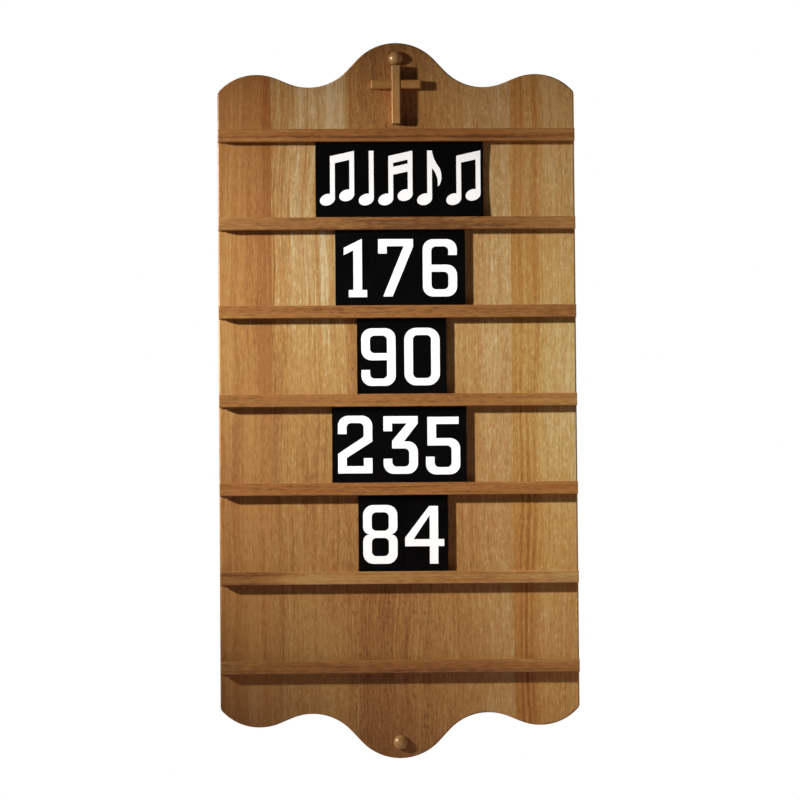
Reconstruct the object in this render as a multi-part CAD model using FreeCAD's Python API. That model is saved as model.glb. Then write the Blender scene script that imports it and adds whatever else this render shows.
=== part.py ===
import FreeCAD, Part
import math
import os

# Hymn board: an edge-glued, scalloped panel with seven horizontal rails.
# The rails carry loose number cards, a small cross stands above them, and two
# button plugs hide the screws that fix the board to a wall.
# Millimetres. X runs across the board, Z is up and the front faces -Y.
# The origin is the centre of the back face, which lies on the wall.

Vector = FreeCAD.Vector

# Panel
board_w = 406.4
board_h = 812.8
board_t = 19.05
board_edge_r = 2.0        # rounding of the panel's front edge

# Scallop of the panel's two ends, from the middle crest out to the corner
crest_rise = 50.8         # crest above the valleys beside it
swell_rise = 14.8         # outer swell above the valley
valley_inset = 103.7      # valley's lowest point, from the board's side
swell_inset = 44.4        # swell's highest point, from the board's side
crest_flank = 17.4        # straight run between the crest's and the valley's arcs
swell_flank = 15.4        # straight run between the valley's and the swell's arcs
shoulder_r = 58.0         # fall of the swell towards the side
corner_r = 8.0            # last arc, into the side

# Staves of the panel, from the left; the fifth takes what is left
stave_1_w = 60.7
stave_2_w = 88.5
stave_3_w = 90.8
stave_4_w = 93.0

# Rails: each is a face strip on a spacer strip. The spacer lies flat on the panel
# and has a rib along it, so that a groove stays open above and below the rib.
first_rail_drop = 99.8    # from the top crest to the first rail's upper edge
rail_pitch = 100.35
last_rail_clear = 90.0    # least height of the last rail above the bottom crest
rail_h = 14.3
rail_face_t = 7.9
rail_edge_r = 1.1         # rounding of the face strip's long front edges
rail_end_ease = 0.6       # small chamfer on the face strip's two ends
rail_end_gap = 0.6        # each end stops this far inside the board's side
spacer_t = 3.0
groove_w = 1.8            # gap between the spacer and the face strip, across the rib
foot_depth = 3.0          # groove above the rib, for the cards' feet
rib_h = 5.0

# Cards
card_t = 1.0
card_corner_r = 1.6
card_seat = 0.25          # running gap under a card's foot
card_front_gap = 0.3      # running gap between a card and the face strips
card_side_gap = 0.3       # gap between neighbouring cards
card_head_lap = 2.7       # cover of a card's head by the rail above
number_card_w = 50.6
narrow_card_w = 45.7      # card of the figure 1
heading_card_w = 190.8
heading_bow = 1.2         # the long card bends back this far at mid height

# Left edge of the cards in each filled row, from the board's middle
heading_left = -92.2
row_1_left = -70.4
row_2_left = -46.4
row_3_left = -75.3
row_4_left = -46.1

# Cross
cross_stock = 9.8         # width of both bars
cross_h = 66.8
cross_span = 56.5
cross_foot_gap = 6.1      # from the first rail's upper edge to the cross
crossbar_drop = 21.7      # from the upright's top to the crossbar's middle
upright_t = 10.1
crossbar_t = 9.3
cross_chamfer = 1.0

# Wall screw holes with their button plugs, one near each crest
wall_hole_inset = 18.2    # from the crest
wall_hole_d = 5.2
counterbore_depth = 12.0
button_d = 16.0
button_h = 8.0
button_belly = 1.5        # quarter round from the seat out to the widest ring
button_brow_r = 4.6       # arc from the widest ring into the crown
button_shank_d = 9.5
button_shank_len = 6.0
button_clear = 0.1        # radial play of the shank in its counterbore

# Countersunk wood screws, driven from the back
screw_d = 2.9
screw_head_d = 5.8
screw_head_h = 1.6
screw_tip = 2.5           # length of the tapered tip
screw_point_d = 0.8
screw_sink = 0.4          # head below the panel's back face
screw_clear = 0.05        # radial play in every hole
screw_cover = 3.2         # wood left in front of a screw's tip
screw_sides = 8           # flats that stand for a screw's round section
cross_screw_inset = 11.0  # from the upright's two ends

# Places that follow from the sizes above
half_w = board_w / 2
half_h = board_h / 2
front_y = -board_t
groove_back_y = front_y - spacer_t
face_back_y = groove_back_y - groove_w
face_front_y = face_back_y - rail_face_t
head_depth = rail_h - foot_depth - rib_h
rail_len = board_w - 2 * rail_end_gap
rail_count = 1 + int((board_h - first_rail_drop - rail_h - last_rail_clear) / rail_pitch)
row_gap = rail_pitch - rail_h
card_h = foot_depth - card_seat + row_gap + card_head_lap
card_front_y = face_back_y + card_front_gap
cross_foot_z = half_h - first_rail_drop + cross_foot_gap
wall_hole_z = half_h - wall_hole_inset


def point(x, z, y=0.0):
    return Vector(x, y, z)


def box(x0, x1, y0, y1, z0, z1):
    return Part.makeBox(x1 - x0, y1 - y0, z1 - z0, Vector(x0, y0, z0))


def rod(x, z, radius, y0, y1):
    """Cylinder along Y."""
    return Part.makeCylinder(radius, y1 - y0, Vector(x, y0, z), Vector(0, 1, 0))


def front_edges(shape, y):
    return [edge for edge in shape.Edges if all(abs(v.Y - y) < 1e-6 for v in edge.Vertexes)]


def save(name, shape):
    shape.exportStep("parts/" + name + ".step")


# Panel

def sweep(start, end, straight):
    """Arc, straight run and arc between two level points, all tangent."""
    run = end.x - start.x
    rise = end.z - start.z
    side = math.copysign(1, rise)
    turn = 2 * math.atan(abs(rise) / (run + straight))
    radius = (run - straight * math.cos(turn)) / (2 * math.sin(turn))

    def offset(angle):
        return point(radius * math.sin(angle), side * radius * (1 - math.cos(angle)))

    first = start + offset(turn)
    last = end - offset(turn)
    return [
        Part.Arc(start, start + offset(turn / 2), first).toShape(),
        Part.LineSegment(first, last).toShape(),
        Part.Arc(last, end - offset(turn / 2), end).toShape(),
    ]


def shoulder(top):
    """Fall from the swell's top into the upright side, in two tangent arcs."""
    turn = math.asin((half_w - top.x - corner_r) / (shoulder_r - corner_r))
    large = top - point(0, shoulder_r)
    small = large + point(shoulder_r - corner_r, 0) * math.sin(turn)
    small += point(0, shoulder_r - corner_r) * math.cos(turn)

    def on_arc(centre, radius, angle):
        return centre + point(radius * math.sin(angle), radius * math.cos(angle))

    joint = on_arc(large, shoulder_r, turn)
    side = on_arc(small, corner_r, math.pi / 2)
    mid_corner = on_arc(small, corner_r, (turn + math.pi / 2) / 2)
    fall = Part.Arc(top, on_arc(large, shoulder_r, turn / 2), joint).toShape()
    corner = Part.Arc(joint, mid_corner, side).toShape()
    return [fall, corner], side


def panel_outline():
    """Closed wire of the panel, from one quarter mirrored twice."""
    crest = point(0, half_h)
    valley = point(half_w - valley_inset, half_h - crest_rise)
    swell = point(half_w - swell_inset, half_h - crest_rise + swell_rise)
    fall, side = shoulder(swell)
    quarter = sweep(crest, valley, crest_flank) + sweep(valley, swell, swell_flank) + fall
    quarter.append(Part.LineSegment(side, point(half_w, 0)).toShape())
    middle = Vector(0, 0, 0)
    half = quarter + [edge.mirror(middle, Vector(0, 0, 1)) for edge in quarter]
    edges = half + [edge.mirror(middle, Vector(1, 0, 0)) for edge in half]
    return Part.Wire(Part.sortEdges(edges)[0])


def panel():
    blank = Part.Face(panel_outline()).extrude(Vector(0, -board_t, 0))
    return blank.makeFillet(board_edge_r, front_edges(blank, front_y))


def stave_edges():
    """X of the glue joints, with the board's two sides."""
    edges = [-half_w]
    for width in (stave_1_w, stave_2_w, stave_3_w, stave_4_w):
        edges.append(edges[-1] + width)
    return edges + [half_w]


def panel_staves():
    holes = screw_holes() + wall_holes()
    whole = panel().cut(holes)
    edges = stave_edges()
    for number, (left, right) in enumerate(zip(edges, edges[1:]), 1):
        slab = box(left, right, -2 * board_t, board_t, -board_h, board_h)
        save(f"panel_stave_{number}", whole.common(slab).Solids[0])


# Rails

def rail_bottom(number):
    """Lower edge of a rail, counted from 1 at the top."""
    return half_h - first_rail_drop - rail_h - (number - 1) * rail_pitch


def rail_face(low):
    """Face strip with rounded long edges and eased ends."""
    half_len = rail_len / 2
    bar = box(-half_len, half_len, face_front_y, face_back_y, low, low + rail_h)
    long_edges = [edge for edge in front_edges(bar, face_front_y) if edge.Length > rail_h]
    bar = bar.makeFillet(rail_edge_r, long_edges)
    plan = [
        point(-half_len, low, face_back_y),
        point(-half_len, low, face_front_y + rail_end_ease),
        point(-half_len + rail_end_ease, low, face_front_y),
        point(half_len - rail_end_ease, low, face_front_y),
        point(half_len, low, face_front_y + rail_end_ease),
        point(half_len, low, face_back_y),
    ]
    return bar.common(Part.Face(Part.makePolygon(plan + plan[:1])).extrude(point(0, rail_h)))


def rail_spacer(low):
    """Spacer strip with its rib, as one T section."""
    half_len = rail_len / 2
    rib_low = low + head_depth
    section = [
        point(-half_len, low, front_y),
        point(-half_len, low, groove_back_y),
        point(-half_len, rib_low, groove_back_y),
        point(-half_len, rib_low, face_back_y),
        point(-half_len, rib_low + rib_h, face_back_y),
        point(-half_len, rib_low + rib_h, groove_back_y),
        point(-half_len, low + rail_h, groove_back_y),
        point(-half_len, low + rail_h, front_y),
    ]
    return Part.Face(Part.makePolygon(section + section[:1])).extrude(point(rail_len, 0))


def rails():
    holes = screw_holes()
    for number in range(1, rail_count + 1):
        low = rail_bottom(number)
        save(f"rail_{number}_face", rail_face(low).cut(holes).Solids[0])
        save(f"rail_{number}_spacer", rail_spacer(low).cut(holes).Solids[0])


# Cards

def card_foot(row):
    """Foot of the cards in a row; row 0 holds the heading."""
    return rail_bottom(row + 2) + rail_h - foot_depth + card_seat


def flat_card(left, width, foot):
    card = box(left, left + width, card_front_y, card_front_y + card_t, foot, foot + card_h)
    corners = [edge for edge in card.Edges if abs(edge.Length - card_t) < 1e-6]
    return card.makeFillet(card_corner_r, corners)


def bowed_card(left, width, foot):
    """Long card whose section is an arc, bent back at mid height."""
    head = foot + card_h
    middle = (foot + head) / 2
    back_y = card_front_y + card_t
    front = [point(left, z, y) for z, y in
             ((foot, card_front_y), (middle, card_front_y + heading_bow), (head, card_front_y))]
    back = [point(left, z, y) for z, y in
            ((head, back_y), (middle, back_y + heading_bow), (foot, back_y))]
    section = Part.Wire([
        Part.Arc(*front).toShape(),
        Part.LineSegment(front[2], back[0]).toShape(),
        Part.Arc(*back).toShape(),
        Part.LineSegment(back[2], front[0]).toShape(),
    ])
    card = Part.Face(section).extrude(Vector(width, 0, 0))
    corners = [edge for edge in card.Edges if abs(edge.Length - card_t) < 1e-6]
    return card.makeFillet(card_corner_r, corners)


def cards():
    save("heading_card", bowed_card(heading_left, heading_card_w, card_foot(0)))
    rows = (
        (1, row_1_left, "176"),
        (2, row_2_left, "90"),
        (3, row_3_left, "235"),
        (4, row_4_left, "84"),
    )
    for row, left, figures in rows[:rail_count - 2]:
        for figure in figures:
            width = narrow_card_w if figure == "1" else number_card_w
            save(f"row_{row}_card_{figure}", flat_card(left, width, card_foot(row)))
            left += width + card_side_gap


# Cross

def cross_bar(width, height, thickness, low):
    bar = box(-width / 2, width / 2, front_y - thickness, front_y, low, low + height)
    return bar.makeChamfer(cross_chamfer, front_edges(bar, front_y - thickness))


def cross():
    """Upright and crossbar, halved into each other."""
    bar_low = cross_foot_z + cross_h - crossbar_drop - cross_stock / 2
    half_stock = cross_stock / 2
    lap_y = front_y - crossbar_t / 2
    upright = cross_bar(cross_stock, cross_h, upright_t, cross_foot_z)
    crossbar = cross_bar(cross_span, cross_stock, crossbar_t, bar_low)
    upright_notch = box(-half_stock, half_stock, lap_y, front_y, bar_low, bar_low + cross_stock)
    crossbar_notch = box(-half_stock, half_stock, front_y - upright_t, lap_y,
                         bar_low, bar_low + cross_stock)
    upright = upright.cut([upright_notch] + screw_holes())
    save("cross_upright", upright.Solids[0])
    save("cross_bar", crossbar.cut(crossbar_notch).Solids[0])


# Wall screw holes and their plugs

def wall_holes():
    holes = []
    counterbore_r = button_shank_d / 2 + button_clear
    for z in (wall_hole_z, -wall_hole_z):
        holes.append(rod(0, z, wall_hole_d / 2, -2 * board_t, board_t))
        holes.append(rod(0, z, counterbore_r, -2 * board_t, front_y + counterbore_depth))
    return holes


def button(z):
    """Round-head plug: a domed head on a shank that fills the counterbore's mouth."""
    shank_r = button_shank_d / 2
    head_r = button_d / 2
    seat_r = head_r - button_belly
    crown = button_h - button_belly

    def at(radius, height):
        return Vector(radius, front_y - height, z)

    belly_mid = at(seat_r + button_belly * math.sin(math.pi / 4),
                   button_belly * (1 - math.cos(math.pi / 4)))

    # Crown arc: level at the top and tangent to the brow arc
    brow_x = head_r - button_brow_r
    crown_r = (brow_x ** 2 + crown ** 2 - button_brow_r ** 2) / (2 * (crown - button_brow_r))
    crown_turn = math.asin(brow_x / (crown_r - button_brow_r))
    brow_turn = (math.pi / 2 + crown_turn) / 2

    def on_brow(angle):
        return at(brow_x + button_brow_r * math.sin(angle),
                  button_belly + button_brow_r * math.cos(angle))

    top = at(0, button_h)
    crown_mid = at(crown_r * math.sin(crown_turn / 2),
                   button_h - crown_r * (1 - math.cos(crown_turn / 2)))
    corners = [
        top,
        at(0, -button_shank_len),
        at(shank_r, -button_shank_len),
        at(shank_r, 0),
        at(seat_r, 0),
    ]
    edges = [Part.LineSegment(a, b).toShape() for a, b in zip(corners, corners[1:])]
    edges += [
        Part.Arc(at(seat_r, 0), belly_mid, at(head_r, button_belly)).toShape(),
        Part.Arc(at(head_r, button_belly), on_brow(brow_turn), on_brow(crown_turn)).toShape(),
        Part.Arc(on_brow(crown_turn), crown_mid, top).toShape(),
    ]
    profile = Part.Face(Part.Wire(edges))
    return profile.revolve(Vector(0, 0, z), Vector(0, 1, 0), 360)


def buttons():
    save("button_plugs", Part.makeCompound([button(wall_hole_z), button(-wall_hole_z)]))


# Screws

def screw_places():
    """X, Z, tip and group of each screw; a rail's two stand in the outer staves."""
    edges = stave_edges()
    first_x = (edges[0] + edges[1]) / 2
    last_x = (edges[-2] + edges[-1]) / 2
    rail_tip = face_front_y + screw_cover
    for number in range(1, rail_count + 1):
        z = rail_bottom(number) + head_depth + rib_h / 2
        for x in (first_x, last_x):
            yield x, z, rail_tip, "rail_screws"
    cross_tip = front_y - upright_t + screw_cover
    for z in (cross_foot_z + cross_screw_inset, cross_foot_z + cross_h - cross_screw_inset):
        yield 0, z, cross_tip, "cross_screws"


def turned(x, z, sections):
    """Solid through rings of flats, each given by its Y and its radius."""
    rings = []
    for y, radius in sections:
        angles = [2 * math.pi * step / screw_sides for step in range(screw_sides + 1)]
        rings.append([point(x + radius * math.cos(a), z + radius * math.sin(a), y)
                      for a in angles])
    faces = [Part.Face(Part.makePolygon(rings[0])), Part.Face(Part.makePolygon(rings[-1]))]
    for near, far in zip(rings, rings[1:]):
        for side in range(screw_sides):
            corners = [near[side], near[side + 1], far[side + 1], far[side], near[side]]
            faces.append(Part.Face(Part.makePolygon(corners)))
    solid = Part.Solid(Part.Shell(faces))
    if solid.Volume < 0:
        solid.reverse()
    return solid


def screw_solid(x, z, tip_y, mouth_y, grow):
    """A screw, or its hole when grown and carried out to mouth_y."""
    head_r = screw_head_d / 2 + grow
    shank_r = screw_d / 2 + grow
    point_r = screw_point_d / 2 + grow
    sections = [
        (mouth_y, head_r),
        (-screw_sink - screw_head_h, shank_r),
        (tip_y + screw_tip, shank_r),
        (tip_y - grow, point_r),
    ]
    if mouth_y > -screw_sink:
        sections.insert(1, (-screw_sink, head_r))
    return turned(x, z, sections)


def screw_holes():
    return [screw_solid(x, z, tip_y, board_t, screw_clear)
            for x, z, tip_y, _ in screw_places()]


def screws():
    groups = {}
    for x, z, tip_y, group in screw_places():
        screw = screw_solid(x, z, tip_y, -screw_sink, 0)
        groups.setdefault(group, []).append(screw)
    for group, solids in groups.items():
        save(group, Part.makeCompound(solids))


os.makedirs("parts", exist_ok=True)
panel_staves()
rails()
cards()
cross()
buttons()
screws()
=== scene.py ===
import math

import bmesh
import bpy
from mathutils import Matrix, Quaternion, Vector


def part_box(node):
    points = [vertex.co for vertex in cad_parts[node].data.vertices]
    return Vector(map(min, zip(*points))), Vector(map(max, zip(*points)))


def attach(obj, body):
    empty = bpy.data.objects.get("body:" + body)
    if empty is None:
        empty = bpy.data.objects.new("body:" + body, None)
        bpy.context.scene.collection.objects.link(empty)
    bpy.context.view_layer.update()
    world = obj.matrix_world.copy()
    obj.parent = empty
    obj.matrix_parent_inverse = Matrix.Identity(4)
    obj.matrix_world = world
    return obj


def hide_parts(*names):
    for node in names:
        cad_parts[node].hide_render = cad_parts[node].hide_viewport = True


# Hymn board: stained wood, black cards with printed figures, turned button plugs
# and countersunk screws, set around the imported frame. Metres, in the frame's own
# axes; shapes are drawn in millimetres and scaled by MM.

MM = 0.001

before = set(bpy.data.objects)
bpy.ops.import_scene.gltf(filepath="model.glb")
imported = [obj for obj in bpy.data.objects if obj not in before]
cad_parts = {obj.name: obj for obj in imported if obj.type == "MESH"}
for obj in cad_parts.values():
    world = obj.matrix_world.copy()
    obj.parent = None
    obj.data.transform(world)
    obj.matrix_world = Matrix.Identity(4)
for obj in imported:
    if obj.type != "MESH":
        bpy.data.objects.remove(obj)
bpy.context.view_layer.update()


# Shader sums

class Field:
    """A shader socket that takes part in sums; each operator adds its Math node."""

    def __init__(self, shader, socket):
        self.shader = shader
        self.socket = socket

    def __add__(self, other):
        return self.shader.math("ADD", self, other)

    def __radd__(self, other):
        return self.shader.math("ADD", other, self)

    def __sub__(self, other):
        return self.shader.math("SUBTRACT", self, other)

    def __rsub__(self, other):
        return self.shader.math("SUBTRACT", other, self)

    def __mul__(self, other):
        return self.shader.math("MULTIPLY", self, other)

    def __rmul__(self, other):
        return self.shader.math("MULTIPLY", other, self)


class Shader:
    """A node tree under construction; node() adds any node to it."""

    def __init__(self, tree):
        self.tree = tree
        tree.nodes.clear()

    def node(self, kind, inputs=None, output=0, stops=None, **settings):
        made = self.tree.nodes.new("ShaderNode" + kind)
        for key, value in settings.items():
            setattr(made, key, value)
        if stops:
            self.set_stops(made.color_ramp, stops)
        for key, value in (inputs or {}).items():
            if isinstance(value, Field):
                self.tree.links.new(value.socket, made.inputs[key])
            else:
                made.inputs[key].default_value = value
        return Field(self, made.outputs[output]) if len(made.outputs) else made

    @staticmethod
    def set_stops(ramp, stops):
        ramp.interpolation = "EASE"
        while len(ramp.elements) < len(stops):
            ramp.elements.new(1)
        for element, (place, colour) in zip(ramp.elements, stops):
            element.position = place
            element.color = (*colour, 1)

    def graph(self, value, points):
        """Eased curve through (value, level) points; levels lie between 0 and 1."""
        start, end = points[0][0], points[-1][0]
        stops = [((at - start) / (end - start), (level,) * 3) for at, level in points]
        curve = self.node("ValToRGB", {0: (value - start) * (1 / (end - start))}, stops=stops)
        return self.node("SeparateColor", {0: curve})

    def math(self, operation, *values):
        return self.node("Math", dict(enumerate(values)), operation=operation)

    def place(self):
        """X, Y and Z on the piece, in millimetres."""
        metres = self.node("TexCoord", output="Object")
        scaled = self.node("VectorMath", {0: metres, "Scale": 1 / MM}, operation="SCALE")
        return [self.node("SeparateXYZ", {0: scaled}, output=axis) for axis in range(3)]

    def vector(self, x, y, z):
        return self.node("CombineXYZ", {0: x, 1: y, 2: z})

    def noise(self, x, y, z, detail=2.0, roughness=0.5):
        """Noise from -0.5 to 0.5, about one swell to each unit."""
        wave = self.node("TexNoise", {
            "Vector": self.vector(x, y, z),
            "Scale": 1.0,
            "Detail": detail,
            "Roughness": roughness,
        })
        return wave - 0.5

    def step(self, value, low, high):
        """Smooth step from 0 at low to 1 at high."""
        return self.node("MapRange", {
            "Value": value,
            "From Min": low,
            "From Max": high,
        }, interpolation_type="SMOOTHSTEP")

    def mix(self, factor, first, second, blend_type="MIX"):
        """Colour mix; a colour is a socket or three numbers."""
        ends = [c if isinstance(c, Field) else (*c, 1) for c in (first, second)]
        return self.node("Mix", {0: factor, 6: ends[0], 7: ends[1]}, output=2, data_type="RGBA",
                         blend_type=blend_type)

    def bump(self, height, depth_mm):
        return self.node("Bump", {"Height": height, "Distance": depth_mm * MM, "Strength": 1.0})

    def surface(self, **sockets):
        names = {key.replace("_", " "): value for key, value in sockets.items()}
        surface = self.node("BsdfPrincipled", names)
        self.node("OutputMaterial", {"Surface": surface})


def new_material(name):
    material = bpy.data.materials.new(name)
    material.use_nodes = True
    return material, Shader(material.node_tree)


# Finishes

STAIN = (
    (0.00, (0.160, 0.057, 0.014)),
    (0.30, (0.356, 0.155, 0.040)),
    (0.55, (0.475, 0.253, 0.073)),
    (0.80, (0.568, 0.366, 0.140)),
    (1.00, (0.675, 0.525, 0.282)),
)
PORE_STAIN = (0.150, 0.052, 0.014)
LEVEL_RUN = ((-420, 0.5), (420, 0.5))
# The colour is made redder toward the board's head and foot
BLUSH = ((-400, 0.35), (-260, 0.22), (-150, 0.15), (-60, 0.03), (60, 0.0), (150, 0.10),
         (245, 0.22), (330, 0.42))
BLUSH_TINT = (1.0, 0.68, 0.50)
FOOT_FADE = (70.0, -90.0)    # heights between which low_cuts takes over from cuts
HEAD_FADE = (30.0, 110.0)    # heights between which vivid comes in
SEED_RUN = 611.0             # each seed's step through the noise, along the grain
SEED_DEPTH = 37.0            # and into the wood
NO_TINT = (1.0, 1.0, 1.0)


def wood(name, along, cuts, seed, runs=LEVEL_RUN, low_cuts=None, wander=7.0, figure=0.6,
         lines=0.5, vivid=0.0, pores=0.40, flecks=0.0, rays=0.0, flush=1.0, cast=NO_TINT,
         roughness=0.40, coat=0.12, shine=0.5, shine_tint=NO_TINT):
    """Stained, lacquered wood.

    along is the axis of the grain. cuts gives the tone, 0 dark to 1 pale, at places
    across the grain in millimetres, and runs shifts it along the grain: 0.5 is no
    shift. low_cuts takes over from cuts towards the board's foot. wander is how far
    the grain strays from straight, figure and lines the strength of its broad and
    narrow stripes, and vivid what is added to both towards the board's head. pores
    is the strength of the fine pores, flecks that of short dark specks, rays that of
    short pale ones and flush that of the added redness towards the board's ends. cast
    multiplies the stain's red, green and blue. coat is the weight of the lacquer,
    shine the strength of the wood's own reflection and shine_tint its colour.
    """
    material, shader = new_material(name)
    x, y, z = shader.place()
    length, across = (z, x) if along == "Z" else (x, z)
    run = length + seed * SEED_RUN
    depth = y + seed * SEED_DEPTH

    def layer(side, rate, run_rate, detail=3.0, octave=0.5):
        """Noise drawn out along the grain; the rates are swells to the millimetre."""
        return shader.noise(side * rate, depth * rate, run * run_rate, detail, octave)

    stray = layer(across, 0.010, 0.0050, detail=1.0)
    shake = layer(across, 0.06, 0.022)
    grain = across + stray * (3.0 * wander) + shake * (0.5 * wander)

    band = layer(grain, 0.075, 0.0022)
    line = layer(grain, 0.48, 0.0075, octave=0.65)
    fibre = layer(grain, 0.95, 0.110, octave=0.7)
    mottle = layer(grain, 0.22, 0.070)
    tone = shader.graph(grain, cuts)
    if low_cuts:
        tone = tone + (shader.graph(grain, low_cuts) - tone) * shader.step(length, *FOOT_FADE)
    tone = tone + shader.graph(length, runs) - 0.5
    stripes = line * lines
    if vivid:
        stripes = stripes + (line * 0.6 + band * 0.6) * shader.step(length, *HEAD_FADE) * vivid
    blush = shader.graph(z, BLUSH) * flush
    tone = tone + band * figure + stripes + fibre * 0.80 + mottle * 0.25 + blush * 0.12

    dash = layer(grain, 1.9, 0.085, detail=1.0)
    crowd = layer(grain, 0.12, 0.006, detail=1.0)
    speck = layer(grain, 0.50, 0.17, detail=1.0)
    pore = shader.step(dash + crowd * 0.25, 0.10, 0.26) * pores
    if flecks:
        fleck = shader.step(speck + crowd * 0.2, 0.08, 0.20) * flecks
        pore = shader.math("MAXIMUM", pore, fleck)
    if rays:
        tone = tone + shader.step(speck, -0.08, -0.22) * rays

    stops = [(at, [part * share for part, share in zip(colour, cast)]) for at, colour in STAIN]
    stain = shader.node("ValToRGB", {0: tone}, stops=stops)
    stain = shader.mix(blush, stain, BLUSH_TINT, blend_type="MULTIPLY")
    shader.surface(
        Base_Color=shader.mix(pore, stain, PORE_STAIN),
        Roughness=roughness + fibre * 0.25 + pore * 0.2,
        Coat_Weight=coat,
        Coat_Roughness=0.25,
        Specular_IOR_Level=shine,
        Specular_Tint=(*shine_tint, 1),
        Normal=shader.bump(fibre * 0.35 - pore * 0.5 + line * 0.2, 0.10),
    )
    return material


def card_plastic():
    """Black printed plastic sheet with a faint satin and fine handling scuffs."""
    material, shader = new_material("card_plastic_black")
    x, y, z = shader.place()
    haze = shader.noise(x * 0.03, y * 0.03, z * 0.03, detail=3.0)
    scuff = shader.noise(x * 0.9 + z * 0.5, y, z * 0.05, detail=4.0)
    grain = shader.noise(x * 4.0, y * 4.0, z * 4.0, detail=2.0)
    colour = shader.mix(shader.step(haze, -0.3, 0.4),
                        (0.0010, 0.0009, 0.0010), (0.0018, 0.0016, 0.0016))
    shader.surface(
        Base_Color=colour,
        Roughness=0.30 + haze * 0.15 + shader.step(scuff, 0.15, 0.3) * 0.10,
        Specular_IOR_Level=0.25,
        Normal=shader.bump(grain, 0.012),
    )
    return material


def card_print():
    """Matt white screen print, with a weak painted glow of its own that lifts it to white."""
    material, shader = new_material("card_print_white")
    x, y, z = shader.place()
    weave = shader.noise(x * 2.2, y * 2.2, z * 2.2, detail=2.0)
    cloud = shader.noise(x * 0.06, y * 0.06, z * 0.06, detail=2.0)
    colour = shader.mix(shader.step(cloud + weave * 0.3, -0.4, 0.4),
                        (0.90, 0.90, 0.885), (0.96, 0.96, 0.95))
    shader.surface(
        Base_Color=colour,
        # Painted glow: the print gives off a little light of its own.
        Emission_Color=colour,
        Emission_Strength=0.27,
        Roughness=0.5 + weave * 0.2,
        Specular_IOR_Level=0.3,
        Normal=shader.bump(weave, 0.01),
    )
    return material


def screw_steel():
    """Zinc-plated steel, a little dulled."""
    material, shader = new_material("screw_steel_zinc")
    x, y, z = shader.place()
    cloud = shader.noise(x * 0.5, y * 0.5, z * 0.5, detail=3.0)
    turning = shader.noise(x * 0.4, y * 9.0, z * 0.4, detail=2.0)
    colour = shader.mix(shader.step(cloud, -0.2, 0.25),
                        (0.62, 0.60, 0.55), (0.46, 0.44, 0.40))
    shader.surface(
        Base_Color=colour,
        Metallic=1.0,
        Roughness=0.34 + cloud * 0.3,
        Normal=shader.bump(turning, 0.01),
    )
    return material


# Tone of each stave from its left to its right edge, and along it from foot to head
STAVES = {
    "panel_stave_1": dict(
        cuts=((-203, 0.50), (-190, 0.61), (-180, 0.47), (-165, 0.42), (-142, 0.33)),
        low_cuts=((-203, 0.34), (-190, 0.42), (-180, 0.46), (-165, 0.50), (-142, 0.46)),
        runs=((-400, 0.60), (-340, 0.58), (-280, 0.50), (400, 0.50)),
        seed=1, wander=6.0, figure=0.48, lines=0.48, vivid=0.12, flush=1.4,
        cast=(0.98, 0.965, 1.0)),
    "panel_stave_2": dict(
        cuts=((-142, 0.50), (-125, 0.57), (-111, 0.79), (-100, 0.73), (-90, 0.66),
              (-80, 0.84), (-68, 0.74), (-54, 0.58)),
        low_cuts=((-142, 0.56), (-128, 0.64), (-116, 0.66), (-106, 0.62), (-92, 0.60),
                  (-76, 0.66), (-54, 0.56)),
        runs=((-400, 0.44), (-320, 0.37), (-160, 0.30), (-50, 0.28), (40, 0.36),
              (140, 0.53), (340, 0.57)),
        seed=2, wander=7.0, figure=0.62, lines=0.60, vivid=1.05, flecks=0.14, rays=0.15,
        cast=(0.985, 1.02, 1.08)),
    "panel_stave_3": dict(
        cuts=((-54, 0.40), (-30, 0.32), (0, 0.34), (37, 0.40)),
        seed=3, wander=9.0, figure=0.50, lines=0.75, pores=0.50, flecks=0.62,
        cast=(1.0, 1.04, 1.12)),
    "panel_stave_4": dict(
        cuts=((37, 0.46), (60, 0.48), (85, 0.60), (105, 0.70), (130, 0.69)),
        runs=((-400, 0.40), (-230, 0.42), (-150, 0.35), (-60, 0.43), (50, 0.53),
              (340, 0.53)),
        seed=4, wander=7.0, figure=0.40, lines=0.6, flecks=0.20, rays=0.15,
        cast=(1.0, 1.02, 1.08)),
    "panel_stave_5": dict(
        cuts=((129, 0.56), (134, 0.44), (138, 0.56), (141, 0.36), (145, 0.60),
              (153, 0.64), (158, 0.50), (163, 0.68), (180, 0.76), (203, 0.80)),
        low_cuts=((129, 0.56), (134, 0.46), (137, 0.52), (140, 0.28), (143, 0.56),
                  (147, 0.30), (150, 0.60), (154, 0.46), (158, 0.68), (180, 0.72),
                  (203, 0.80)),
        runs=((-400, 0.43), (-160, 0.47), (-40, 0.60), (50, 0.58), (140, 0.53),
              (350, 0.60)),
        seed=5, wander=6.0, figure=0.25, lines=0.55, flecks=0.18, rays=0.20, flush=1.7,
        cast=(1.015, 1.0, 0.86)),
}
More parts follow.
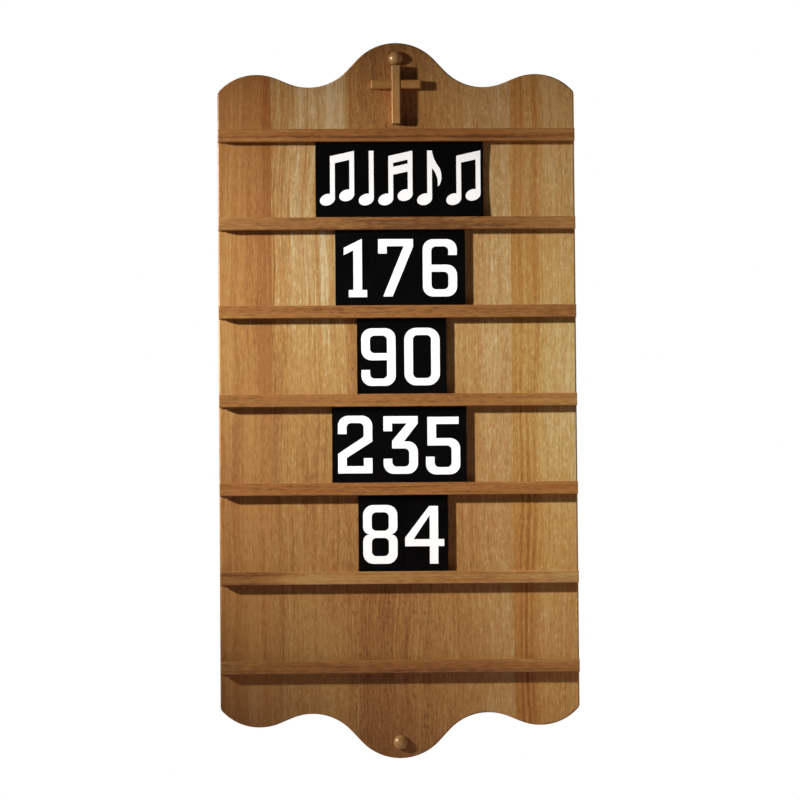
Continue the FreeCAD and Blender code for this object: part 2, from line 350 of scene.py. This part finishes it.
# Tone of each rail: across it, in millimetres above its lower edge, and along it
RAIL_GRAIN = dict(wander=1.2, figure=0.4, lines=0.7, flecks=0.25)
PLAIN_RAIL = ((0, 0.30), (14.3, 0.30))
RAILS = {
    1: dict(
        cuts=((0, 0.36), (3.6, 0.34), (5.4, 0.10), (7.6, 0.28), (9.0, 0.34), (14.3, 0.34)),
        runs=((-203, 0.52), (-60, 0.44), (60, 0.46), (90, 0.37), (203, 0.56))),
    2: dict(
        cuts=PLAIN_RAIL, lines=0.55, flecks=0.15, cast=(1.0, 1.08, 1.22),
        runs=((-203, 0.60), (-110, 0.45), (0, 0.29), (110, 0.36), (203, 0.56))),
    3: dict(
        cuts=PLAIN_RAIL, figure=0.3, lines=0.45, flecks=0.10,
        runs=((-203, 0.48), (-60, 0.38), (60, 0.42), (203, 0.42))),
    4: dict(
        cuts=PLAIN_RAIL, figure=0.3, lines=0.50, flecks=0.10,
        runs=((-203, 0.42), (-60, 0.47), (60, 0.43), (203, 0.60))),
    5: dict(
        cuts=PLAIN_RAIL, figure=0.5, lines=0.80, cast=(1.02, 0.95, 0.92),
        runs=((-203, 0.46), (-100, 0.43), (-60, 0.41), (60, 0.42), (130, 0.51),
              (203, 0.50))),
    6: dict(
        cuts=((0, 0.40), (9.6, 0.42), (11.4, 0.28), (14.3, 0.36)), figure=0.6,
        runs=((-203, 0.29), (-160, 0.23), (-100, 0.56), (60, 0.46), (203, 0.71)),
        cast=(1.0, 1.04, 1.10)),
    7: dict(
        cuts=((0, 0.18), (6, 0.22), (14.3, 0.34)), figure=0.3, lines=0.55,
        runs=((-203, 0.63), (-60, 0.46), (60, 0.45), (203, 0.62)),
        cast=(1.0, 1.02, 1.06)),
}


def dress_wood():
    for node, look in STAVES.items():
        paint(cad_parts[node], wood("oak_" + node, "Z", **look))
    for number, look in RAILS.items():
        face = f"rail_{number}_face"
        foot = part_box(face)[0][2] / MM
        cuts = [(foot + height, tone) for height, tone in look["cuts"]]
        grain = {**RAIL_GRAIN, **look, "cuts": cuts, "seed": 10 + number}
        finish = wood(f"oak_rail_{number}", "X", **grain)
        paint(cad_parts[face], finish)
        paint(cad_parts[f"rail_{number}_spacer"], finish)
    paint(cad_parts["cross_upright"],
          wood("oak_cross_upright", "Z", ((-30, 0.60), (30, 0.60)), 21, wander=1.5))
    paint(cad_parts["cross_bar"],
          wood("oak_cross_bar", "X", ((340, 0.52), (380, 0.52)), 22, wander=1.5))


def paint(piece, material):
    """Puts one material on the whole piece."""
    piece.data.materials.clear()
    piece.data.materials.append(material)


# Pieces

def place_mesh(bm, name, material):
    """Turns a finished bmesh into a piece at the origin."""
    mesh = bpy.data.meshes.new(name)
    bm.to_mesh(mesh)
    bm.free()
    piece = bpy.data.objects.new(name, mesh)
    bpy.context.scene.collection.objects.link(piece)
    paint(piece, material)
    return piece


def trace(bm, loop):
    """Closed chain of edges through (x, z, corner radius) points, in millimetres."""
    corners = [bm.verts.new((x * MM, 0, z * MM)) for x, z, _ in loop]
    for near, far in zip(corners, corners[1:] + corners[:1]):
        bm.edges.new((near, far))
    for radius in sorted({radius for _, _, radius in loop if radius}):
        rounded = [corner for corner, (_, _, r) in zip(corners, loop) if r == radius]
        bmesh.ops.bevel(bm, geom=rounded, offset=radius * MM, offset_type="OFFSET", segments=7,
                        profile=0.5, affect="VERTICES", material=-1)


PRINT_T = 0.12            # the print stands this far proud of its card, and sinks as far in


def printed(bm, loops, left, foot, front_y):
    """Adds a flat printed shape: the first loop is its edge and the others its holes."""
    shape = bmesh.new()
    for loop in loops:
        trace(shape, loop)
    bmesh.ops.triangle_fill(shape, edges=shape.edges[:], use_beauty=True)
    grown = bmesh.ops.extrude_face_region(shape, geom=shape.faces[:])["geom"]
    raised = [item for item in grown if isinstance(item, bmesh.types.BMVert)]
    bmesh.ops.translate(shape, verts=raised, vec=(0, -2 * PRINT_T * MM, 0))
    bmesh.ops.recalc_face_normals(shape, faces=shape.faces[:])
    bmesh.ops.translate(shape, verts=shape.verts[:],
                        vec=(left * MM, (front_y + PRINT_T) * MM, foot * MM))
    scratch = bpy.data.meshes.new("scratch")
    shape.to_mesh(scratch)
    shape.free()
    bm.from_mesh(scratch)
    bpy.data.meshes.remove(scratch)


# Figures: squared numerals, in millimetres from their own lower left corner

HIGH = 65.3               # height of the figures
WIDE = 38.9
STEM = 9.8                # width of the upright strokes
BAR = 8.2                 # width of the level strokes
BEND = 11.5               # outer rounding of the bowls
INNER = 5.2               # inner rounding of the bowls


def bowl_figure():
    """The 9: an upper bowl on a stem that hooks back at the foot."""
    bar_low, bar_high = 29.0, 37.1
    hook = 18.1
    edge = [(0, hook, 0), (0, 0, BEND), (WIDE, 0, BEND), (WIDE, HIGH, BEND), (0, HIGH, BEND),
            (0, bar_low, BEND), (WIDE - STEM, bar_low, 0), (WIDE - STEM, BAR, INNER),
            (STEM, BAR, INNER), (STEM, hook, 0)]
    hole = [(STEM, bar_high, INNER), (WIDE - STEM, bar_high, 0),
            (WIDE - STEM, HIGH - BAR, INNER), (STEM, HIGH - BAR, INNER)]
    return [edge, hole]


def turned_half(loops):
    """The same figure turned upside down."""
    return [[(WIDE - x, HIGH - z, radius) for x, z, radius in loop] for loop in loops]


def box_loop(left, low, right, high, radius):
    return [(left, low, radius), (right, low, radius),
            (right, high, radius), (left, high, radius)]


def figure_loops():
    right = WIDE - STEM
    head = HIGH - BAR
    return {
        "0": [box_loop(0, 0, 40.2, HIGH, 13.5),
              box_loop(STEM, BAR, 40.2 - STEM, head, INNER)],
        "1": [[(5.5, 0, 0), (26.3, 0, 0), (26.3, BAR, 0), (20.7, BAR, 0), (20.7, 66.5, 0),
               (0, 56.2, 0), (0, 47.9, 0), (10.9, 53.4, 0), (10.9, BAR, 0), (5.5, BAR, 0)]],
        "2": [[(0, 0, 0), (WIDE, 0, 0), (WIDE, 17.2, 0), (right, 17.2, 0), (right, BAR, 0),
               (STEM, BAR, 0), (STEM, 17.6, 0), (WIDE, 36.0, 0), (WIDE, HIGH, BEND),
               (0, HIGH, BEND), (0, 44.6, 0), (STEM, 44.6, 0), (STEM, head, INNER),
               (right, head, INNER), (right, 41.4, 1.0), (0, 22.2, 0)]],
        "3": [[(0, 17.2, 0), (0, 0, BEND), (WIDE, 0, BEND), (WIDE, 36.7, BEND), (23.2, 36.7, 0),
               (WIDE, 56.9, 0), (WIDE, HIGH, 0), (0, HIGH, 0), (0, 48.3, 0), (STEM, 48.3, 0),
               (STEM, head, 0), (26.6, head, 0), (STEM, 37.4, 0), (STEM, 28.7, 0),
               (right, 28.7, INNER), (right, BAR, INNER), (STEM, BAR, INNER), (STEM, 17.2, 0)]],
        "4": [[(0, 19.9, 0), (27.9, 19.9, 0), (27.9, 0, 0), (37.5, 0, 0), (37.5, 19.9, 0),
               (44.3, 19.9, 0), (44.3, 27.8, 0), (37.5, 27.8, 0), (37.5, HIGH, 0),
               (27.4, HIGH, 0), (0, 29.6, 0)],
              [(9.4, 27.8, 0), (27.9, 27.8, 0), (27.9, 55.0, 0)]],
        "5": [[(0, 20.2, 0), (0, 0, BEND), (WIDE, 0, BEND), (WIDE, 41.1, BEND), (11.7, 41.1, 0),
               (11.7, head, 0), (37.4, head, 0), (37.4, HIGH, 0), (1.9, HIGH, 0),
               (1.9, 32.8, 0), (right, 32.8, INNER), (right, BAR, INNER),
               (STEM, BAR, INNER), (STEM, 20.2, 0)]],
        "6": turned_half(bowl_figure()),
        "7": [[(5.5, 0, 0), (16.2, 0, 0), (39.8, 56.7, 0), (39.8, HIGH, 0), (0, HIGH, 0),
               (0, 48.8, 0), (STEM, 48.8, 0), (STEM, head, 0), (28.9, head, 0)]],
        "8": eight(),
        "9": bowl_figure(),
    }


def eight():
    """Two rounded lobes that meet in deep, narrow notches at the waist."""
    top = HIGH + 1.2
    waist = 33.4
    slit = 0.5
    notch = 8.2
    lobe = 7.4
    return [
        [(0, 0, BEND), (WIDE, 0, BEND), (WIDE, waist - slit, lobe), (WIDE - notch, waist, 0),
         (WIDE, waist + slit, lobe), (WIDE, top, BEND), (0, top, BEND), (0, waist + slit, lobe),
         (notch, waist, 0), (0, waist - slit, lobe)],
        box_loop(STEM, BAR + 0.4, WIDE - STEM, waist - 4.1, INNER),
        box_loop(STEM, waist + 3.9, WIDE - STEM, top - BAR, INNER),
    ]


# Left and lower margin of the print on each card
MARGINS = {
    "row_1_card_1": (9.7, 12.5),
    "row_1_card_7": (2.8, 13.2),
    "row_1_card_6": (2.5, 12.8),
    "row_2_card_9": (4.9, 12.1),
    "row_2_card_0": (2.8, 12.4),
    "row_3_card_2": (6.7, 13.4),
    "row_3_card_3": (7.3, 12.6),
    "row_3_card_5": (4.4, 11.6),
    "row_4_card_8": (5.2, 11.3),
    "row_4_card_4": (1.8, 11.0),
}


def print_figures(white):
    shapes = figure_loops()
    for card, (left, foot) in MARGINS.items():
        low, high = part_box(card)
        bm = bmesh.new()
        printed(bm, shapes[card[-1]], low[0] / MM + left, low[2] / MM + foot, low[1] / MM)
        piece = place_mesh(bm, card + "_figure", white)
        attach(piece, card)


# Heading: a row of plain music notes

HEAD_LONG = 8.8           # half length of a note's oval head
HEAD_SHORT = 6.4
HEAD_TILT = math.radians(20)
STEM_W = 5.4
BEAM_T = 9.0
BEAM_GAP = 4.5            # between two beams of one pair
BEAM_SPAN = 22.0          # between the stems of a beamed pair
BEAM_SLOPE = 0.22
FLAG_W = 11.0             # room for the flag of a single note
NOTES_LEFT = 4.9          # left margin of the notes
NOTES_RIGHT = 3.1
NOTES_FOOT = 23.4         # height of the lower heads' middles above the card's foot
NOTES_TOP = 78.9
BOW = 1.2                 # the heading card's middle lies this far back


def head_reach():
    """Half width of a tilted head."""
    return math.hypot(HEAD_LONG * math.cos(HEAD_TILT), HEAD_SHORT * math.sin(HEAD_TILT))


def head_arc(x, z):
    """Head's edge from the stem's left side round to its rightmost point."""
    lead = math.atan2(HEAD_SHORT * math.sin(HEAD_TILT), HEAD_LONG * math.cos(HEAD_TILT))
    start = math.acos(1 - STEM_W / head_reach()) - lead
    end = 2 * math.pi - lead
    steps = 26
    points = []
    for step in range(steps + 1):
        turn = start + (end - start) * step / steps
        along, across = HEAD_LONG * math.cos(turn), HEAD_SHORT * math.sin(turn)
        points.append((x + along * math.cos(HEAD_TILT) - across * math.sin(HEAD_TILT),
                       z + along * math.sin(HEAD_TILT) + across * math.cos(HEAD_TILT), 0))
    return points


def quarter_note(x, low, high):
    right = x + 2 * head_reach()
    return [[(right, high, 0), (right - STEM_W, high, 0), *head_arc(x + head_reach(), low)]]


def flagged_note(x, low, high):
    right = x + 2 * head_reach()
    flag = [(right, high - 20, 0), (right + 7, high - 28, 9), (right + 6.5, high - 41, 0),
            (right + 9, high - 39, 2), (right + 13, high - 25, 11), (right + 2.5, high - 12, 8),
            (right, high, 0)]
    return [[*flag, (right - STEM_W, high, 0), *head_arc(x + head_reach(), low)]]


def beamed_notes(x, low, high, beams):
    """Two notes whose stems are joined by one beam or two."""
    near = x + 2 * head_reach()
    far = near + BEAM_SPAN

    def line(at, drop):
        return (at, high - drop - BEAM_SLOPE * (far - at), 0)

    pitch = BEAM_T + BEAM_GAP
    depth = BEAM_T + (beams - 1) * pitch
    edge = [line(far, 0), line(near - STEM_W, 0), *head_arc(near - head_reach(), low),
            line(near, depth), line(far - STEM_W, depth),
            *head_arc(far - head_reach(), low + BEAM_SLOPE * BEAM_SPAN)]
    windows = [[line(near, BEAM_T), line(far - STEM_W, BEAM_T),
                line(far - STEM_W, pitch), line(near, pitch)]]
    return [edge] + windows[:beams - 1]


def print_heading(white):
    """Five motifs set along the heading card and bent with it."""
    low, high = (corner / MM for corner in map(Vector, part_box("heading_card")))
    left, foot, top = low.x + NOTES_LEFT, low.z + NOTES_FOOT, low.z + NOTES_TOP
    single = 2 * head_reach()
    pair = single + BEAM_SPAN
    motifs = (
        (beamed_notes, pair, [1]),
        (quarter_note, single, []),
        (beamed_notes, pair, [2]),
        (flagged_note, single + FLAG_W, []),
        (beamed_notes, pair, [1]),
    )
    room = high.x - low.x - NOTES_LEFT - NOTES_RIGHT
    gap = (room - sum(width for _, width, _ in motifs)) / (len(motifs) - 1)
    bm = bmesh.new()
    for draw, width, beams in motifs:
        printed(bm, draw(left, foot, top, *beams), 0, 0, low.y)
        left += width + gap
    bend(bm, low.z, high.z)
    piece = place_mesh(bm, "heading_notes", white)
    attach(piece, "heading")


def bend(bm, low, high):
    """Cuts the flat print into strips and bends it with the card."""
    middle, half = (low + high) / 2, (high - low) / 2
    strips = 16
    for strip in range(1, strips):
        level = low + (high - low) * strip / strips
        bmesh.ops.bisect_plane(bm, geom=bm.verts[:] + bm.edges[:] + bm.faces[:],
                               plane_co=(0, 0, level * MM), plane_no=(0, 0, 1))
    for vert in bm.verts:
        vert.co.y += BOW * MM * (1 - ((vert.co.z / MM - middle) / half) ** 2)


# Turned plugs and screws

def spun(bm, profile, x, z, segments):
    """Turns (radius, y) points about the line along Y through x and z."""
    points = [bm.verts.new(((x + radius) * MM, y * MM, z * MM)) for radius, y in profile]
    edges = [bm.edges.new(pair) for pair in zip(points, points[1:])]
    bmesh.ops.spin(bm, geom=points + edges, cent=(x * MM, 0, z * MM), axis=(0, 1, 0),
                   dvec=(0, 0, 0), angle=2 * math.pi, steps=segments, use_merge=True,
                   use_duplicate=False)


BELLY = 1.5               # quarter round under a button's head
PLUG_R = 4.7              # radius of its shank


def button_plugs():
    """Domed heads, each on its shank."""
    low, high = (corner / MM for corner in map(Vector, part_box("button_plugs")))
    head_r = high.x
    panel_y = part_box("panel_stave_3")[0][1] / MM
    rim_y = panel_y - BELLY
    turns = [math.radians(turn) for turn in range(0, 91, 6)]
    dome = [(head_r * math.sin(turn), rim_y - (rim_y - low.y) * math.cos(turn))
            for turn in turns]
    under = [(head_r - BELLY + BELLY * math.cos(turn), rim_y + BELLY * math.sin(turn))
             for turn in turns[3::3]]
    profile = [*dome, *under, (PLUG_R, panel_y), (PLUG_R, high.y), (0, high.y)]
    bm = bmesh.new()
    for z in (high.z - head_r, low.z + head_r):
        spun(bm, profile, 0, z, 48)
    bmesh.ops.remove_doubles(bm, verts=bm.verts[:], dist=1e-6)
    bmesh.ops.recalc_face_normals(bm, faces=bm.faces[:])
    for face in bm.faces:
        face.smooth = True
    finish = wood("oak_buttons", "Z", ((-20, 0.64), (20, 0.64)), 31, wander=1.0, figure=0.3,
                  lines=0.3, roughness=0.31, coat=0.10, shine=1.0,
                  shine_tint=(1.0, 0.84, 0.66))
    piece = place_mesh(bm, "turned_buttons", finish)
    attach(piece, "board")
    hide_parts("button_plugs")


SCREW_SUNK = 0.4          # screw heads lie this far below the panel's back
SCREW_HEAD_R = 2.7
SCREW_SHANK_R = 1.45
HEAD_RIM = 0.15           # straight edge of the head
HEAD_DEPTH = 1.6          # from the head's face to the shank
POINT = 2.5               # length of the tapered point
POINT_R = 0.3
RECESS_REACH = 1.65       # half length of the cross recess
RECESS_HALF = 0.38        # half width of its arms
RECESS_DEPTH = 1.1
RECESS_TAPER = 0.45
RAIL_SCREW_RISE = 8.8     # above a spacer's lower edge
CROSS_SCREW_INSET = 11.0  # from either end of the cross


def countersunk_screw(bm, x, z, tip):
    """Screw seen from the back: sunk head with a cross recess, shank and point."""
    face_y = -SCREW_SUNK
    spun(bm, [(SCREW_HEAD_R, face_y), (SCREW_HEAD_R, face_y - HEAD_RIM),
              (SCREW_SHANK_R, face_y - HEAD_DEPTH), (SCREW_SHANK_R, tip + POINT),
              (POINT_R, tip), (0, tip)], x, z, 24)
    arm, half = RECESS_REACH, RECESS_HALF
    cross = [(half, arm), (half, half), (arm, half), (arm, -half), (half, -half),
             (half, -arm), (-half, -arm), (-half, -half), (-arm, -half), (-arm, half),
             (-half, half), (-half, arm)]
    rim = [bm.verts.new(((x + a) * MM, face_y * MM, (z + b) * MM)) for a, b in cross]

    def from_axis(vert):
        return vert.co.x - x * MM, vert.co.z - z * MM

    ring = [vert for vert in bm.verts
            if abs(math.hypot(*from_axis(vert)) - SCREW_HEAD_R * MM) < 1e-5
            and abs(vert.co.y - face_y * MM) < 1e-5]
    ring.sort(key=lambda vert: math.atan2(*reversed(from_axis(vert))))
    loop = [bm.edges.new(pair) for pair in zip(rim, rim[1:] + rim[:1])]
    edge = [bm.edges.get(pair) for pair in zip(ring, ring[1:] + ring[:1])]
    bmesh.ops.triangle_fill(bm, edges=loop + edge, use_beauty=True)
    sunk = bmesh.ops.extrude_edge_only(bm, edges=loop)["geom"]
    for vert in (item for item in sunk if isinstance(item, bmesh.types.BMVert)):
        vert.co.x += (x * MM - vert.co.x) * RECESS_TAPER
        vert.co.z += (z * MM - vert.co.z) * RECESS_TAPER
        vert.co.y -= RECESS_DEPTH * MM
    bottom = [item for item in sunk if isinstance(item, bmesh.types.BMEdge)]
    bmesh.ops.triangle_fill(bm, edges=bottom, use_beauty=True)


def screws(steel):
    """Two screws into each rail and two into the cross."""
    first, last = (sum(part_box(stave)[side][0] for side in (0, 1)) / 2 / MM
                   for stave in ("panel_stave_1", "panel_stave_5"))
    levels = [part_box(f"rail_{number}_spacer")[0][2] / MM + RAIL_SCREW_RISE for number in RAILS]
    low, high = (corner[2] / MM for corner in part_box("cross_upright"))
    places = {
        "rail_screws": [(x, z) for z in levels for x in (first, last)],
        "cross_screws": [(0, low + CROSS_SCREW_INSET), (0, high - CROSS_SCREW_INSET)],
    }
    for node, heads in places.items():
        bm = bmesh.new()
        for x, z in heads:
            countersunk_screw(bm, x, z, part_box(node)[0][1] / MM)
        bmesh.ops.remove_doubles(bm, verts=bm.verts[:], dist=1e-6)
        bmesh.ops.recalc_face_normals(bm, faces=bm.faces[:])
        piece = place_mesh(bm, node + "_cut", steel)
        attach(piece, "board")
        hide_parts(node)


# Stage, light and camera

def studio():
    """Key lamps on the upper left, a soft fill from below and a lamp for the back."""
    key = (-1.57, -0.78, 0.49)
    lamp("key", "SPOT", key, (0.236, -0.019, -0.052), 236.0,
         shadow_soft_size=0.05, spot_size=math.radians(31.5), spot_blend=1.0)
    lamp("key_core", "SPOT", key, (0.26, -0.019, -0.045), 52.0,
         shadow_soft_size=0.05, spot_size=math.radians(15.0), spot_blend=1.0)
    lamp("low_fill", "AREA", (0.30, -1.00, -0.85), (0.0, 0.0, 0.0), 1.55,
         shape="SQUARE", size=0.6, color=(1.0, 0.66, 0.58))
    lamp("rear_key", "AREA", (-0.9, 1.9, 1.0), (0, 0, 0), 28.0, shape="SQUARE", size=0.8)
    backdrop()
    floor()


def lamp(name, kind, place, aim, power, **settings):
    light = bpy.data.lights.new(name, kind)
    light.energy = power
    for key, value in settings.items():
        setattr(light, key, value)
    piece = bpy.data.objects.new(name, light)
    piece.location = place
    piece.rotation_mode = "QUATERNION"
    piece.rotation_quaternion = (Vector(aim) - Vector(place)).to_track_quat("-Z", "Y")
    piece.visible_camera = False
    bpy.context.scene.collection.objects.link(piece)


def shown(shader, mirrored):
    """1 for rays that see the background straight or through glass, mirrored in gloss."""
    straight = shader.math("MAXIMUM",
                           shader.node("LightPath", output="Is Camera Ray"),
                           shader.node("LightPath", output="Is Transmission Ray"))
    gloss = shader.node("LightPath", output="Is Glossy Ray") * mirrored
    return shader.math("MAXIMUM", straight, gloss)


def backdrop():
    """White where it is seen; it lights the board mostly from behind and from its right."""
    world = bpy.data.worlds.new("studio")
    world.use_nodes = True
    bpy.context.scene.world = world
    shader = Shader(world.node_tree)
    direction = shader.node("TexCoord", output="Generated")
    right = shader.node("SeparateXYZ", {0: direction})
    back = shader.node("SeparateXYZ", {0: direction}, output=1)
    behind = shader.step(back, 0.15, 0.8)
    beside = shader.step(right, 0.7, 1.0) * shader.step(back, -0.40, 0.0)
    seen = shown(shader, behind)
    light = shader.node("Background", {
        "Color": shader.mix(seen, (1.0, 0.84, 0.76), (1, 1, 1)),
        "Strength": shader.math("MAXIMUM", seen, behind * 0.9 + beside * 0.65 + 0.043),
    })
    shader.node("OutputWorld", {"Surface": light})


FLOOR_RADIUS = 3.0        # metres, as the floor's level is
FLOOR_LEVEL = -2.7


def floor():
    """Pale floor far below the hung board; it fades into the backdrop at its rim."""
    material, shader = new_material("studio_floor")
    x, y, _ = shader.place()
    radius = shader.node("VectorMath", {0: shader.vector(x, y, 0.0)}, output="Value",
                         operation="LENGTH")
    seen = shown(shader, shader.step(y, 0.0, 900.0))
    white = shader.node("Emission", {"Color": (1, 1, 1, 1), "Strength": 1.0})
    matt = shader.node("BsdfDiffuse", {"Color": (0.86, 0.86, 0.85, 1)})
    pale = shader.node("MapRange", {"Value": radius, "From Min": 400.0, "From Max": 2800.0,
                                    "To Min": 0.75, "To Max": 1.0})
    mixed = shader.node("MixShader", {0: pale * seen, 1: matt, 2: white})
    shader.node("OutputMaterial", {"Surface": mixed})
    bm = bmesh.new()
    bmesh.ops.create_circle(bm, cap_ends=True, segments=96, radius=FLOOR_RADIUS)
    bmesh.ops.translate(bm, verts=bm.verts[:], vec=(0, 0, FLOOR_LEVEL))
    place_mesh(bm, "floor", material)


def camera():
    """Slightly left of the board's middle and a little below it."""
    eye = Vector((-0.10384, -3.51507, -0.13074))
    aim = Vector((0.00212, -0.01905, -0.00117))
    lens = bpy.data.cameras.new("camera")
    lens.sensor_width = 36.0
    lens.lens = 138.77
    lens.clip_end = 100.0
    piece = bpy.data.objects.new("camera", lens)
    piece.location = eye
    piece.rotation_mode = "QUATERNION"
    roll = Quaternion((0, 0, 1), math.radians(-0.439))
    piece.rotation_quaternion = (aim - eye).to_track_quat("-Z", "Y") @ roll
    bpy.context.scene.collection.objects.link(piece)
    bpy.context.scene.camera = piece


camera()
studio()
dress_wood()
black = card_plastic()
for node_name, node_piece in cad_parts.items():
    if "card" in node_name:
        paint(node_piece, black)
white = card_print()
print_figures(white)
print_heading(white)
button_plugs()
screws(screw_steel())

bpy.context.scene.view_settings.view_transform = "Standard"
